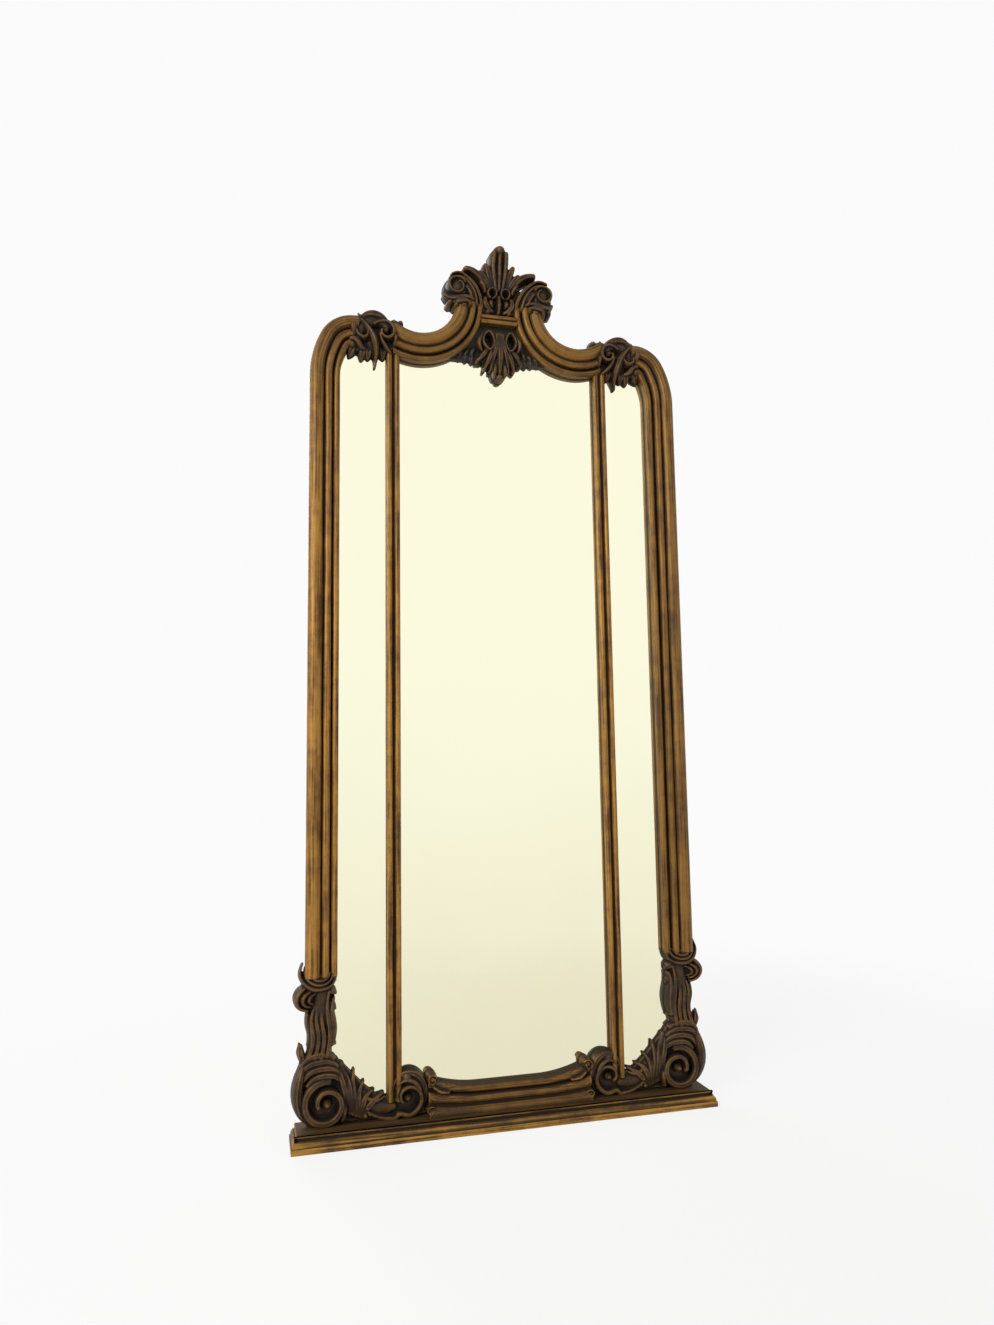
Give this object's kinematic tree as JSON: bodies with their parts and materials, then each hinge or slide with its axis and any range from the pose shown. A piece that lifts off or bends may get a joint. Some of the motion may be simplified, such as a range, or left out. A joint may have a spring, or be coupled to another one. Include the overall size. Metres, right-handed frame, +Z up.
{
  "type": "wall mirror",
  "caption": "Tall wall mirror in a carved gilt frame with swan-neck crest, reeded mullions, scrolled corners and a moulded plinth.",
  "frame": {"origin": "on the wall line, at the bottom middle of the plinth's back face", "axes": "+X to the viewer's right, +Y into the wall, +Z up"},
  "size_m": [0.842, 0.08, 1.8],
  "materials": {
    "moulding_gilt": "aged burnished gilding over gesso",
    "carving_gilt": "dark toned gilding, worn on high points",
    "plinth_gilt": "aged gilding over gesso",
    "apron_dark": "dark stain",
    "pine": "old bare pine",
    "backboard_pine": "old bare pine",
    "mirror_glass": "silvered plate",
    "brass": "dull brass",
    "brass_screw": "dull brass",
    "steel_screw": "dull steel"
  },
  "bodies": {
    "frame": {"backboard_screws": "steel_screw", "bottom_back_rail": "pine", "bottom_rail_moulding": "moulding_gilt", "crest_apron": "apron_dark", "crest_board": "pine", "crest_crossbar": "moulding_gilt", "crest_palmette": "carving_gilt", "glazing_blocks": "pine", "hanger_screws": "brass_screw", "left_back_stile": "pine", "left_backboard": "backboard_pine", "left_corner_volute": "carving_gilt", "left_crest_volute": "carving_gilt", "left_foot_scroll": "carving_gilt", "left_hanger_strap": "brass", "left_mirror_plate": "mirror_glass", "left_mullion": "moulding_gilt", "left_mullion_bar": "pine", "left_stile_leaf": "carving_gilt", "left_stile_moulding": "moulding_gilt", "left_swan_neck": "moulding_gilt", "left_top_clasp": "carving_gilt", "middle_backboard": "backboard_pine", "middle_mirror_plate": "mirror_glass", "pendant_leaf": "carving_gilt", "plinth": "plinth_gilt", "plinth_screws": "steel_screw", "right_back_stile": "pine", "right_backboard": "backboard_pine", "right_corner_volute": "carving_gilt", "right_crest_volute": "carving_gilt", "right_foot_scroll": "carving_gilt", "right_hanger_strap": "brass", "right_mirror_plate": "mirror_glass", "right_mullion": "moulding_gilt", "right_mullion_bar": "pine", "right_stile_leaf": "carving_gilt", "right_stile_moulding": "moulding_gilt", "right_swan_neck": "moulding_gilt", "right_top_clasp": "carving_gilt", "top_back_rail": "pine"},
    "left_ring": {"left_hanger_ring": "brass"},
    "right_ring": {"right_hanger_ring": "brass"}
  },
  "joints": [
    {"name": "left_ring_hinge", "type": "hinge", "parent": "frame", "child": "left_ring", "pos_m": [-0.375, -0.00355, 1.38], "axis": [1, 0, 0], "range_deg": [0, 180]},
    {"name": "right_ring_hinge", "type": "hinge", "parent": "frame", "child": "right_ring", "pos_m": [0.375, -0.00355, 1.38], "axis": [1, 0, 0], "range_deg": [0, 180]}
  ]
}
